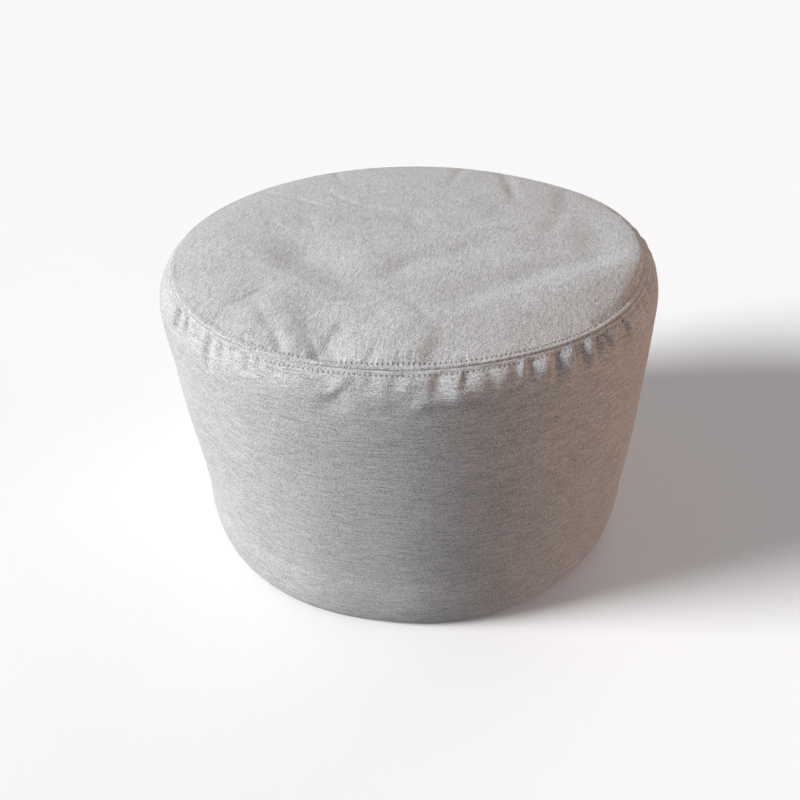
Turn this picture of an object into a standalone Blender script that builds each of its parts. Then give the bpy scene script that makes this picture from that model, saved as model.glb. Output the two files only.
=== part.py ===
"""Round bean bag footstool: a crowned top panel, a tapered side band and a flat base panel.

The three cut panels are sewn into one cover and filled, so each is a filled solid with the
shape that the filling gives it: the top panel lies in shallow folds, the band is gathered into
short puckers under the top seam, and its foot turns in to a flat base.
Metres, +Z up, origin on the floor under the middle of the stool, front towards -Y.
"""

import math

import bmesh
import bpy

MM = 0.001

# Driving dimensions
WIDEST_RADIUS = 255 * MM
WIDEST_HEIGHT = 278 * MM
SEAM_RADIUS = 242.6 * MM
SEAM_HEIGHT = 312.6 * MM
CROWN_HEIGHT = 19 * MM
HEEL_RADIUS = 236 * MM
HEEL_HEIGHT = 64 * MM
FOOT_RADIUS = 220.5 * MM
BASE_THICKNESS = 2.4 * MM
BASE_INSET = 1.6 * MM
BASE_EDGE = 0.8 * MM
SEAM_GAP = 0.3 * MM

# Shape of the filled wall and crown
WALL_SWELL = 2.3 * MM
FOOT_SHIFT = 3.8 * MM
SHOULDER_POWER = 2.4
CROWN_POWER = 3.0

# The seam: a lip of cloth on each side of the groove
LIP_INSET = 0.9 * MM
LIP_HEIGHT = 1.2 * MM
LIP_ROLL = 2.6 * MM
STITCHED_STRIP = 5 * MM
PUCKER_RISE = 8 * MM

# Columns around, and the rings of each panel: distance (mm), and 1 for every column, 2 for every
# second one, and so on. The panel's are radii, the wall's lie below the seam, and the heel's
# say in degrees how far the wall has turned in under the stool.
COLUMNS = 240
PANEL_RINGS = [
    (237, 1), (227, 1), (213, 1),
    (196, 2), (173, 2), (149, 2), (123, 2), (97, 2), (70, 2),
    (44, 4), (20, 4),
]
WALL_RINGS = [
    (5, 1), (10, 1), (15.5, 1), (22, 1), (30, 1), (42, 1),
    (62, 2), (110, 2), (170, 2), (225, 2),
]
HEEL_RINGS = [(0, 2), (30, 2), (52, 2), (70, 2), (82, 2)]
FOOT_STEP = 2

# Puckers below the seam: angle around (deg), lean (deg per 10 mm down), half width (deg),
# length down the wall (mm), depth (mm)
PUCKERS_BELOW = [
    (-166.0, 0.0, 2.2, 24, 1.6),
    (-150.6, 0.3, 2.4, 34, 2.4),
    (-146.0, 0.0, 1.8, 24, 1.2),
    (-136.8, 0.2, 2.6, 42, 3.4),
    (-128.3, 0.0, 1.9, 24, 1.0),
    (-121.0, 0.2, 1.8, 22, 0.9),
    (-105.2, 0.9, 2.0, 34, 1.8),
    (-97.2, 0.3, 1.8, 22, 1.0),
    (-93.4, 0.6, 1.8, 28, 1.6),
    (-86.8, 0.6, 2.2, 36, 3.2),
    (-80.4, 0.4, 1.9, 28, 2.2),
    (-70.7, 0.2, 1.8, 26, 1.1),
    (-66.8, 0.2, 1.8, 26, 1.8),
    (-60.4, 0.3, 1.9, 34, 2.6),
    (-54.1, 0.2, 2.0, 36, 3.0),
    (-46.4, -0.4, 2.0, 30, 2.4),
    (-39.1, -0.5, 2.2, 30, 2.6),
    (-31.5, -0.3, 2.4, 26, 1.6),
    (-20.0, 0.0, 2.6, 30, 1.8),
    (-7.0, 0.2, 2.2, 24, 1.4),
    (6.0, -0.2, 2.8, 36, 2.6),
    (19.0, 0.0, 2.0, 24, 1.3),
    (31.0, 0.3, 2.4, 30, 2.2),
    (40.0, 0.0, 1.9, 22, 1.2),
    (52.0, -0.3, 2.6, 38, 3.0),
    (64.0, 0.0, 2.0, 24, 1.4),
    (73.0, 0.4, 2.2, 30, 2.2),
    (86.0, 0.0, 2.6, 34, 2.4),
    (95.0, -0.2, 1.9, 22, 1.2),
    (107.0, 0.2, 2.6, 38, 3.0),
    (121.0, 0.0, 2.2, 26, 1.6),
    (131.0, -0.3, 2.4, 32, 2.2),
    (145.0, 0.0, 2.0, 24, 1.2),
    (157.0, 0.2, 2.6, 34, 2.4),
    (177.0, 0.0, 2.2, 26, 1.6),
]

# Soft swells and hollows of the wall: angle (deg), distance below the seam (mm),
# half width around (deg), half height (mm), how far they stand out (mm)
WALL_SWELLS = [
    (-111, 20, 9, 18, 1.8),
    (-88, 28, 4, 10, 1.2),
    (-83, 18, 3.5, 20, 1.6),
    (-78, 16, 3, 16, 1.2),
    (-50, 20, 4, 14, -1.0),
    (-64, 14, 3.5, 14, 1.0),
    (150, 160, 50, 120, 1.6),
    (35, 190, 45, 110, -1.4),
    (-172, 45, 22, 45, 2.2),
    (-35, 210, 40, 100, 1.2),
    (-165, 205, 32, 75, -2.6),
]

# Folds of the top panel: start and end in plan (mm), half width (mm), height (mm)
PANEL_FOLDS = [
    (-128, 2, -72, -122, 34, -4.2),
    (-15, -84, 88, -34, 24, -2.4),
    (28, -140, 185, -62, 26, -2.8),
    (14, -172, 120, -112, 26, 2.6),
    (110, -116, 226, -48, 28, 3.4),
    (236, -44, 238, 66, 20, 5.0),
    (190, -52, 196, 52, 26, -3.4),
    (-176, -66, -158, -112, 24, -2.8),
    (-158, -158, -126, -136, 28, 3.2),
    (-100, -176, -84, -226, 11, -4.2),
    (-122, -166, -110, -214, 9, -2.4),
    (-62, -226, -36, -176, 13, 2.6),
    (-20, -196, -40, -230, 10, -2.6),
    (8, -234, 24, -200, 11, -3.2),
    (-18, -140, 2, -176, 14, -2.2),
    (-30, 34, 6, 26, 22, -2.2),
    (20, 44, 34, 20, 15, -1.6),
    (118, 84, 112, 206, 12, -2.4),
    (154, 12, 186, 150, 13, -3.2),
    (60, 234, 54, 150, 13, -2.4),
    (-150, 148, -84, 72, 12, 2.2),
    (-98, 146, -46, 70, 11, 2.2),
    (-86, 232, -72, 160, 12, 2.4),
    (-214, 60, -150, 92, 22, -1.8),
]

# How the seam and the foot wander from a true circle: angle (deg), seam (mm), foot (mm)
WANDER = [
    (-180, 0.4, 0.2),
    (-150, -0.6, 2.6),
    (-125, 0.8, 1.8),
    (-100, -0.8, -1.0),
    (-75, 0.2, 0.6),
    (-45, 0.8, -1.2),
    (-15, -0.4, 0.4),
    (20, 0.6, 0.8),
    (55, -3.2, -0.8),
    (100, -0.8, 1.0),
    (140, -0.4, -0.4),
]

CLOTH_COLOR = (0.46, 0.455, 0.45, 1.0)
CLOTH_ROUGHNESS = 0.9


def hump(offset):
    """A smooth hill: 1 in the middle, 0 at one unit away and beyond."""
    if abs(offset) >= 1:
        return 0.0
    return 0.5 * (1 + math.cos(math.pi * offset))


def ramp(value):
    """A smooth step from 0 to 1."""
    value = min(1.0, max(0.0, value))
    return value * value * (3 - 2 * value)


def turn_between(angle, centre):
    """The angle from centre to angle, in degrees, the short way round."""
    return (angle - centre + 180) % 360 - 180


def wander(angle, column):
    """Read a column of the WANDER table at an angle, smoothly and all the way round."""
    rows = WANDER + [(WANDER[0][0] + 360,) + WANDER[0][1:]]
    place = (angle - rows[0][0]) % 360 + rows[0][0]
    for low, high in zip(rows, rows[1:]):
        if low[0] <= place <= high[0]:
            share = ramp((place - low[0]) / (high[0] - low[0]))
            return (low[column] * (1 - share) + high[column] * share) * MM
    return 0.0


def clear_scene():
    for item in list(bpy.data.objects):
        bpy.data.objects.remove(item, do_unlink=True)


def cloth_material(name, shade):
    """A matt light grey cloth, a little lighter or darker for each panel."""
    material = bpy.data.materials.new(name)
    material.use_nodes = True
    shader = material.node_tree.nodes["Principled BSDF"]
    color = [channel * shade for channel in CLOTH_COLOR[:3]] + [1.0]
    shader.inputs["Base Color"].default_value = color
    shader.inputs["Roughness"].default_value = CLOTH_ROUGHNESS
    shader.inputs["Metallic"].default_value = 0.0
    return material


def fold_offset(x, y):
    """Height that the folds add to the top panel at a place in plan."""
    total = 0.0
    for x0, y0, x1, y1, width, height in PANEL_FOLDS:
        run_x, run_y = (x1 - x0) * MM, (y1 - y0) * MM
        length = math.hypot(run_x, run_y)
        from_x, from_y = x - x0 * MM, y - y0 * MM
        along = (from_x * run_x + from_y * run_y) / length
        aside = (from_y * run_x - from_x * run_y) / length
        half = length / 2
        past_end = max(0.0, abs(along - half) - 0.6 * half) / (0.4 * half + width * MM)
        total += height * MM * hump(aside / (width * MM)) * hump(past_end)
    return total


def panel_point(angle, radius):
    """A point of the top panel: crown, folds, then a strip drawn down to the seam."""
    turn = math.radians(angle)
    edge = SEAM_RADIUS + wander(angle, 1)
    reach = radius * edge / SEAM_RADIUS
    x, y = reach * math.cos(turn), reach * math.sin(turn)
    crown = CROWN_HEIGHT * (1 - (radius / SEAM_RADIUS) ** CROWN_POWER)
    held = ramp((SEAM_RADIUS - STITCHED_STRIP / 2 - radius) / (3 * STITCHED_STRIP))
    return x, y, SEAM_HEIGHT + LIP_ROLL + crown + held * fold_offset(x, y)


def wall_section(down):
    """Radius, height and sideways shift of the plain wall at a distance below the seam."""
    shoulder = SEAM_HEIGHT - WIDEST_HEIGHT
    if down <= shoulder:
        share = 1 - down / shoulder
        radius = WIDEST_RADIUS - (WIDEST_RADIUS - SEAM_RADIUS) * share ** SHOULDER_POWER
        return radius, SEAM_HEIGHT - down, 0.0
    share = (down - shoulder) / (WIDEST_HEIGHT - HEEL_HEIGHT)
    swell = WALL_SWELL * 4 * share * (1 - share)
    radius = WIDEST_RADIUS + (HEEL_RADIUS - WIDEST_RADIUS) * share + swell
    return radius, SEAM_HEIGHT - down, FOOT_SHIFT * share


def gather_offset(angle, down):
    """How far puckers and swells move the wall in or out."""
    total = 0.0
    rise = ramp((down - STITCHED_STRIP / 2) / PUCKER_RISE)
    for centre, lean, width, length, depth in PUCKERS_BELOW:
        aside = turn_between(angle, centre - lean * down / (10 * MM))
        fade = 1 - ramp((down / MM - 0.35 * length) / (0.65 * length))
        total -= depth * MM * rise * fade * hump(aside / width)
    for centre, depth_down, half_turn, half_height, out in WALL_SWELLS:
        aside = turn_between(angle, centre) / half_turn
        below = (down / MM - depth_down) / half_height
        total += out * MM * hump(aside) * hump(below)
    return total


def wall_point(angle, down):
    turn = math.radians(angle)
    radius, height, shift = wall_section(down)
    low = ramp((down - 60 * MM) / (WIDEST_HEIGHT - HEEL_HEIGHT))
    radius += wander(angle, 1) * (1 - low) + wander(angle, 2) * low + gather_offset(angle, down)
    return shift + radius * math.cos(turn), radius * math.sin(turn), height


def heel_point(angle, turn_under):
    """A point where the wall turns in under the stool; turn_under runs from 0 to 90 degrees."""
    turn = math.radians(angle)
    lift = math.radians(turn_under)
    radius = FOOT_RADIUS + (HEEL_RADIUS - FOOT_RADIUS) * math.cos(lift) + wander(angle, 2)
    height = HEEL_HEIGHT * (1 - math.sin(lift))
    return FOOT_SHIFT + radius * math.cos(turn), radius * math.sin(turn), height


def foot_point(angle, inset, height):
    turn = math.radians(angle)
    radius = FOOT_RADIUS + wander(angle, 2) - inset
    return FOOT_SHIFT + radius * math.cos(turn), radius * math.sin(turn), height


def ring(mesh, point, step, *place):
    """Add a closed ring of points; step 2 keeps every second column, and so on."""
    count = COLUMNS // step
    return [mesh.verts.new(point(360 * index / count, *place)) for index in range(count)]


def join_rings(mesh, upper, lower):
    """Skin two rings, the lower one outside or below. One may have half the points of the other."""
    if len(upper) == len(lower):
        count = len(upper)
        for index in range(count):
            after = (index + 1) % count
            mesh.faces.new((upper[index], lower[index], lower[after], upper[after]))
        return
    fine, coarse = (upper, lower) if len(upper) > len(lower) else (lower, upper)
    for index in range(len(coarse)):
        left, right = coarse[index], coarse[(index + 1) % len(coarse)]
        first = fine[2 * index]
        middle = fine[2 * index + 1]
        last = fine[(2 * index + 2) % len(fine)]
        for corners in ((left, first, middle), (left, middle, right), (right, middle, last)):
            mesh.faces.new(corners if coarse is upper else corners[::-1])


def skin(mesh, rings):
    for upper, lower in zip(rings, rings[1:]):
        join_rings(mesh, upper, lower)


def finish(mesh, name, shade):
    """Turn the bmesh into a named object with its own cloth material."""
    bmesh.ops.recalc_face_normals(mesh, faces=mesh.faces)
    data = bpy.data.meshes.new(name)
    mesh.to_mesh(data)
    mesh.free()
    data.materials.append(cloth_material(name + "_cloth", shade))
    data.shade_smooth()
    data.set_sharp_from_angle(angle=math.radians(50))
    item = bpy.data.objects.new(name, data)
    bpy.context.scene.collection.objects.link(item)
    return item


def lip_point(angle, inset, height):
    """A point on the sewn edge, measured in from the seam line and up from its plane."""
    turn = math.radians(angle)
    radius = SEAM_RADIUS + wander(angle, 1) - inset
    return radius * math.cos(turn), radius * math.sin(turn), SEAM_HEIGHT + height


def top_panel():
    mesh = bmesh.new()
    middle = mesh.verts.new(panel_point(0, 0))
    rings = [ring(mesh, panel_point, step, radius * MM) for radius, step in reversed(PANEL_RINGS)]
    rings.append(ring(mesh, lip_point, 1, LIP_INSET + LIP_ROLL - LIP_HEIGHT, LIP_ROLL))
    rings.append(ring(mesh, lip_point, 1, LIP_INSET, LIP_HEIGHT))
    rings.append(ring(mesh, lip_point, 1, LIP_INSET, SEAM_GAP / 2))
    inner = rings[0]
    for index, corner in enumerate(inner):
        mesh.faces.new((middle, corner, inner[(index + 1) % len(inner)]))
    skin(mesh, rings)
    mesh.faces.new(rings[-1])
    return finish(mesh, "top_panel", 1.0)


def side_band():
    mesh = bmesh.new()
    rings = [ring(mesh, lip_point, 1, LIP_INSET, -SEAM_GAP / 2)]
    rings.append(ring(mesh, lip_point, 1, -LIP_INSET, -LIP_INSET))
    rings += [ring(mesh, wall_point, step, down * MM) for down, step in WALL_RINGS]
    rings += [ring(mesh, heel_point, step, turn_under) for turn_under, step in HEEL_RINGS]
    rings.append(ring(mesh, foot_point, FOOT_STEP, BASE_INSET, BASE_THICKNESS + SEAM_GAP))
    mesh.faces.new(rings[0])
    skin(mesh, rings)
    mesh.faces.new(rings[-1])
    return finish(mesh, "side_band", 0.96)


def base_panel():
    mesh = bmesh.new()
    rings = [ring(mesh, foot_point, FOOT_STEP, BASE_INSET, BASE_THICKNESS)]
    rings.append(ring(mesh, foot_point, FOOT_STEP, BASE_INSET, BASE_EDGE))
    rings.append(ring(mesh, foot_point, FOOT_STEP, BASE_INSET + BASE_EDGE, 0.0))
    mesh.faces.new(rings[0])
    skin(mesh, rings)
    mesh.faces.new(rings[-1])
    return finish(mesh, "base_panel", 0.85)


def main():
    clear_scene()
    top_panel()
    side_band()
    base_panel()


main()
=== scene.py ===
# %% [markdown]
# # A round bean bag footstool
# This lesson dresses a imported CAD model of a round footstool. The real thing is a cloth cover
# cut from three pieces: a round top, a long tapered band and a round base. They are sewn
# together, topstitched beside the top seam and filled with loose beads. The CAD model has the
# right sizes, and here the cloth gets its fine shape, its sewing and its finish. The packed
# model is loaded first, because everything is placed by it.

import math
from collections import namedtuple

import bmesh
import bpy
import numpy as np
from mathutils import Matrix, Vector


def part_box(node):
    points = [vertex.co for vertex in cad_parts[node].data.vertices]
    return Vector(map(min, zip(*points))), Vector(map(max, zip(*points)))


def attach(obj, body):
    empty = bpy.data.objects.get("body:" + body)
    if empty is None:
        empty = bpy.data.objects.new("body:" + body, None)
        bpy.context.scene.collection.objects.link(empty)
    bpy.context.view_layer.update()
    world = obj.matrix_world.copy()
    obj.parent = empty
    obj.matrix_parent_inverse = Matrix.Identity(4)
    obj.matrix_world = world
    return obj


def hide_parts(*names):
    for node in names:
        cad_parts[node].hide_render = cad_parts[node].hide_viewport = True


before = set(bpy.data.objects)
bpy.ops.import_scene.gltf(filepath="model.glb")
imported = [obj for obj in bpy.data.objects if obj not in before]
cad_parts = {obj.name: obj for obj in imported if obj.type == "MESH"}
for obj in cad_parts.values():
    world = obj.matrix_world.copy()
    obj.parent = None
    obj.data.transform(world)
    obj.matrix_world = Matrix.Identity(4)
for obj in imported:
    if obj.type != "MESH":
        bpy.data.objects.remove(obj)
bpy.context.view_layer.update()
MM = 0.001
print("nodes:", sorted(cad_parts))

# %% [markdown]
# ## Sizes
# A few lengths drive the whole stool, because a short list is easier to change than a mesh. They
# are the CAD model's own, so each point of the cloth lands on the solid that it covers. LIP is
# how far the panel's edge stands above the band's, and the two rows are the distances of the
# topstitches from the seam. The seam's height over the CAD band's top and the CAD base's width
# are printed.

# %% Driving sizes
WIDEST_RADIUS = 255 * MM
WIDEST_HEIGHT = 278 * MM
SEAM_RADIUS = 242.6 * MM
SEAM_HEIGHT = 312.6 * MM
CROWN_HEIGHT = 19 * MM
HEEL_RADIUS = 236 * MM
HEEL_HEIGHT = 64 * MM
FOOT_RADIUS = 220.5 * MM
FOOT_SHIFT = 3.8 * MM
WALL_FULLNESS = 2.3 * MM
LIP = 2.6 * MM
PANEL_ROW = 4.6 * MM
BAND_ROW = 4.0 * MM
STITCHES = 339
SEAM_LENGTH = 2 * math.pi * SEAM_RADIUS
STITCH_PITCH = SEAM_LENGTH / STITCHES

band_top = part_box("side_band")[1].z
base_low, base_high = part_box("base_panel")
print("seam plane above the CAD band's top: %.2f mm" % ((SEAM_HEIGHT - band_top) / MM))
print("CAD base is %.0f mm across" % ((base_high.x - base_low.x) / MM))
print("%d stitches of %.2f mm around the top" % (STITCHES, STITCH_PITCH / MM))

# %% [markdown]
# ## Soft steps and hills
# Cloth has no corners, so every change of shape is built from three smooth curves: a ramp, a
# rounded hill and a crease. They take whole arrays, because NumPy works on all of the cloth's
# many thousand points in one go.

# %% Smooth curves
def ramp(value):
    value = np.clip(value, 0.0, 1.0)
    return value * value * (3 - 2 * value)


def hill(offset):
    """1 in the middle, 0 at one unit away and beyond, rounded all over."""
    return np.where(np.abs(offset) < 1, 0.5 * (1 + np.cos(np.pi * offset)), 0.0)


def crease(offset, crisp):
    """A hill that gets a sharper top as crisp goes from 0 to 1."""
    sharp = np.clip(1 - np.abs(offset), 0, 1) ** 2
    return hill(offset) * (1 - crisp) + sharp * crisp


def sided(offset, left, right):
    """Divide an offset by one width on its left and by another on its right."""
    return np.where(offset > 0, offset / left, offset / right)


def turn_between(angle, centre):
    """Degrees from centre to angle the short way round, from -180 to 180."""
    return (angle - centre + 180) % 360 - 180


print("a hill at 0, 0.5 and 1:", hill(np.array([0.0, 0.5, 1.0])).tolist())

# %% [markdown]
# ## The uneven outline
# A sewn and filled cover is never a true circle. One short table says how far the top seam and
# the foot wander outwards and how far the seam rises, in millimetres, and how hard its thread
# pulls the cloth in, from 0 to 1. It is read with smooth steps all the way round.

# %% Wandering seam and foot
Wander = namedtuple("Wander", "angle seam foot lift pull")
WANDER = [Wander(*row) for row in (
    (-180, 0.4, 0.2, 0, 0.1),
    (-150, -0.6, 2.6, -0.8, 0.25),
    (-125, 0.8, 1.8, -1, 0.4),
    (-100, -0.8, -1, 0.3, 1),
    (-75, 0.2, 0.6, 1.3, 1),
    (-45, 0.8, -1.2, -0.8, 0.85),
    (-12, 0.4, 0.4, 1.6, 0.5),
    (20, 0.6, 0.8, 2.8, 0.5),
    (55, -3.2, -0.8, 0.4, 0.8),
    (100, -0.8, 1, 0, 0.9),
    (140, -0.4, -0.4, 0, 0.5),
)]


def wander(angle, column):
    """One column of the table at each angle, with lengths in metres."""
    total = np.zeros_like(angle)
    rows = WANDER + [WANDER[0]._replace(angle=WANDER[0].angle + 360)]
    place = (angle - rows[0].angle) % 360 + rows[0].angle
    for low, high in zip(rows, rows[1:]):
        share = ramp((place - low.angle) / (high.angle - low.angle))
        value = getattr(low, column) * (1 - share) + getattr(high, column) * share
        inside = (place >= low.angle) & (place < high.angle)
        total = np.where(inside, value, total)
    return total if column == "pull" else total * MM


print("the foot wanders by", [row.foot for row in WANDER], "mm")

# %% [markdown]
# ## Folds of the top panel
# The beads have settled, so the top panel lies slack in shallow troughs and ridges. A cloth
# simulation would make folds like these, but wherever it liked, and a table puts each one where
# it belongs. A fold is a line on the panel, seen in plan: its start and end, how far its middle
# bends to the left, its half widths on the left and the right, its rise at the start and at the
# end, and how crisp it is, if it is. Left and right are those of someone who walks along it, and
# all lengths are in millimetres.

# %% The fold table
Fold = namedtuple("Fold", "start end bend left right rise last crisp", defaults=[0])
PANEL_FOLDS = [Fold(*row) for row in (
    # broad troughs and ridges of the slack middle
    ((-125, 8), (-104, -36), 0, 56, 46, -3, -3.2),
    ((-106, -48), (-66, -100), 0, 54, 38, -4, -3.2),
    ((-32, 44), (22, 18), 4, 30, 24, -1.6, -1.2),
    ((14, 26), (38, 14), -3, 11, 11, 1.3, 1.2),
    ((-22, -96), (70, -53), 8, 24, 34, -3.8, -2.4),
    ((-50, -56), (50, -28), 1, 26, 22, 1, 1),
    ((54, -12), (135, 14), 2, 16, 18, 1.4, 1.4),
    ((33, -149), (186, -62), 4, 24, 24, -2.2, -2),
    ((26, -186), (229, -63), -9, 34, 56, 2.2, 5.2),
    ((186, -62), (196, 10), -2, 30, 34, -1.4, -1.2),
    ((242, -50), (238, 50), -6, 72, 10, 6, 4.4),
    ((170, -152), (216, -78), -4, 100, 16, 1.2, 3.4),
    ((-150, -158), (-115, -131), 1, 26, 30, 1.6, 2),
    ((-108, 50), (-100, 22), 0, 12, 14, -1, -1),
    ((-146, 50), (-140, 28), 0, 10, 10, -0.7, -0.7),
    # creases, mostly towards the back
    ((182, 142), (142, -10), 7, 14, 20, -1, -1.2, 0.2),
    ((116, 213), (118, 73), 2, 15, 12, -1.1, -1.5, 0.2),
    ((74, 232), (48, 130), 1, 12, 12, -1, -0.7, 0.2),
    ((-163, 148), (-80, 65), -2, 8, 9, -0.8, -1, 0.4),
    ((-88, 125), (-38, 60), -6, 8, 9, -0.8, -1, 0.5),
    ((-84, 232), (-76, 164), 0, 6, 9, -0.9, -0.7, 0.3),
    ((-178, -35), (-159, -45), 0, 4, 4, -0.7, -0.7, 0.8),
    ((-166, -140), (-132, -101), 4, 30, 20, -0.6, -2.4),
    ((-168, -128), (-141, -108), -3, 6, 13, -1, -1.8, 0.8),
    ((-179, -156), (-170, -131), 1, 6, 9, -0.9, -0.9, 0.3),
    # puckers that run in from the seam at the front
    ((-146, -127), (-125, -173), 1, 12, 12, -0.9, -1.1, 0.2),
    ((-124, -173), (-112, -216), 1, 7, 8, -1, -2, 0.4),
    ((-86, -192), (-81, -231), 1, 34, 9, -0.4, -3.2, 0.2),
    ((-92, -164), (-82, -210), -1, 50, 22, -3.2, -2.6),
    ((-76, -210), (-60, -174), 0, 8, 18, -2, -1.2, 0.2),
    ((-51, -232), (-22, -184), 0, 20, 34, 2.8, 2.4),
    ((-40, -238), (-32, -219), 0, 6, 9, -2.2, -0.8, 0.2),
    ((-10, -238), (12, -186), 0, 42, 64, 5.5, 3),
    ((16, -239), (28, -203), 2, 15, 36, -3, -1.6, 0.1),
    ((-25, -143), (3, -186), 4, 14, 30, 1.2, 1.3),
)]
print(len(PANEL_FOLDS), "folds on the top panel")


def along_fold(x, y, fold):
    """Where each point lies beside a fold: the share of its length, and the offset to its left."""
    start, end = np.array(fold.start) * MM, np.array(fold.end) * MM
    run = end - start
    length = float(np.hypot(*run))
    share = ((x - start[0]) * run[0] + (y - start[1]) * run[1]) / length ** 2
    aside = ((y - start[1]) * run[0] - (x - start[0]) * run[1]) / length
    middle = 1 - (2 * np.clip(share, 0, 1) - 1) ** 2
    return share, aside - fold.bend * MM * middle, length


# %% [markdown]
# ## Puckers beside the seam
# The band is a little longer than the seam that holds it, so its top edge is eased in with short
# puckers, and a few smaller ones show on the panel's side. A row has the angle around the stool
# (the front is at -90), the lean in degrees for each 10 mm from the seam, the half widths on its
# two sides in degrees, the length and the depth in millimetres, and how crisp it is, where that
# isn't 0.3. A negative depth is a small pleat that stands out between two puckers. Slanting folds
# and the broad swells of the wall have tables of their own, by angle and distance down.

# %% The pucker and swell tables
Pucker = namedtuple("Pucker", "angle lean left right length depth crisp", defaults=[0.3])
BAND_PUCKERS = [Pucker(*row) for row in (
    (-176, 0, 1.6, 1.6, 24, 1.4),
    (-168, 0, 1.7, 1.7, 26, 1.7),
    (-161, 0.2, 1.4, 1.4, 20, 0.8),
    (-152, -0.3, 1.4, 2.4, 34, 4, 0.4),
    (-147.2, -0.9, 1.2, 1.8, 24, 2.8, 0.4),
    (-137.1, -0.2, 1.7, 2.4, 38, 3.2),
    (-133.4, -1, 1.4, 1.8, 22, 1),
    (-129.8, -1, 1.2, 1.6, 18, 0.8),
    (-125.6, -0.7, 1.4, 1.6, 22, 1),
    (-122.6, -0.6, 1, 1.2, 16, 0.7),
    (-118.6, 0.3, 1.6, 2.2, 20, 0.8),
    (-97.9, 0.8, 1.5, 2.2, 18, 0.9),
    (-92.6, 1, 1.6, 3, 20, 0.9),
    (-84.8, 0.6, 2.2, 4, 26, 2.3),
    (-79.5, 1.1, 0.8, 3, 22, 1.8, 0.4),
    (-74.9, 0.6, 1.2, 2.4, 20, 0.5),
    (-69.4, 0.6, 1.3, 1.8, 19, 0.6),
    (-66.4, 0.8, 1, 2.2, 22, 2.1, 0.4),
    (-67.2, 0.6, 2, 1.2, 20, -0.8, 0.2),
    (-61.8, 0.8, 3, 1.4, 24, -1.6, 0.2),
    (-59.6, 1, 0.8, 1.4, 30, 2, 0.4),
    (-56.2, 0.8, 2.8, 1.2, 34, -3.6, 0.2),
    (-54.3, 0.3, 0.7, 0.8, 15, -0.8),
    (-53.6, 0.4, 0.7, 1.2, 28, 1.9, 0.4),
    (-50.7, 0.4, 2.3, 1.5, 30, -3.4, 0.2),
    (-49, 0.6, 1.8, 1.4, 22, 1.4, 0.2),
    (-46.9, -0.5, 0.6, 1.4, 27, 3.6, 0.6),
    (-39.8, -0.5, 0.6, 1.4, 29, 4.6, 0.6),
    (-29.2, 0.1, 1.3, 1.8, 22, 2.2, 0.4),
    (-24, 0, 1.3, 1.5, 20, 1.2),
    (-18, 0.2, 1.8, 2.2, 30, 2.4, 0.4),
    (-11, 0, 1.4, 1.4, 22, 1.2),
    (-3, 0.3, 1.6, 1.6, 27, 1.8, 0.4),
    (6, -0.2, 1.9, 2.6, 34, 3.2, 0.4),
    (13.5, 0, 1.4, 1.4, 18, 1),
    (20, 0, 1.6, 1.6, 26, 1.7, 0.4),
    (31, 0.3, 1.8, 2.4, 32, 2.8, 0.4),
    (37, 0, 1.3, 1.3, 17, 0.9),
    (43, 0, 1.5, 1.5, 24, 1.4),
    (52, -0.3, 3.2, 1.6, 37, 3.8, 0.5),
    (58.5, 0, 1.3, 1.3, 19, 1.2),
    (64.5, 0, 1.5, 1.5, 26, 1.7),
    (73, 0.4, 1.5, 2.8, 32, 2.8, 0.4),
    (80, 0, 1.2, 1.2, 16, 0.9),
    (86, 0, 1.9, 1.9, 33, 2.8, 0.4),
    (94, -0.2, 1.5, 1.5, 20, 1.2),
    (107, 0.2, 2.8, 1.7, 37, 3.8, 0.5),
    (114, 0, 1.4, 1.4, 19, 1.1),
    (121, 0, 1.6, 1.6, 28, 1.8),
    (131, -0.3, 1.6, 2.6, 33, 2.8, 0.4),
    (138.5, 0, 1.3, 1.3, 18, 1),
    (145, 0, 1.5, 1.5, 26, 1.6),
    (157, 0.2, 2.6, 1.8, 35, 3, 0.4),
    (165, 0, 1.4, 1.4, 20, 1.1),
    (174, 0.2, 1.6, 1.6, 28, 1.7),
)]
PANEL_PUCKERS = [Pucker(*row) for row in (
    (-169, 0.8, 1.2, 1.2, 16, 0.7),
    (-157, 0.5, 1.2, 1.2, 14, 0.6),
    (-146.5, 1.2, 1, 1, 14, 0.5),
    (-137.3, 4, 1, 1.2, 9, 0.4, 0.4),
    (-127.2, 2, 0.9, 1.2, 17, 0.7),
    (-121, 1.8, 1, 1, 12, 0.6, 0.4),
    (-115, 1.2, 0.8, 0.9, 12, 0.5),
    (-113.3, 1.2, 0.9, 1, 16, 0.8),
    (-105.9, 0.8, 1, 1.2, 14, 0.6),
    (-101.9, 0.7, 0.9, 1.1, 15, 0.9),
    (-93, 0, 0.9, 1.2, 24, 0.5),
    (-80, -0.6, 1.1, 1.1, 16, 0.5),
    (-47, -0.8, 1.2, 1.2, 14, 0.4),
    (2, -0.8, 1.4, 1.4, 18, 0.8, 0.4),
    (17, 0.6, 1.2, 1.2, 16, 0.8),
    (38, 1.2, 1.5, 1.5, 26, 0.5, 0.4),
    (64, -0.8, 1.3, 1.3, 20, 0.9, 0.4),
    (81, 0.6, 1.4, 1.4, 24, 1, 0.4),
    (99, -0.9, 1.3, 1.3, 26, 1, 0.4),
    (118, 1, 1.4, 1.4, 20, 0.8, 0.4),
    (142, -0.7, 1.3, 1.3, 24, 1, 0.4),
    (161, 0.8, 1.4, 1.4, 20, 0.8, 0.4),
)]
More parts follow.
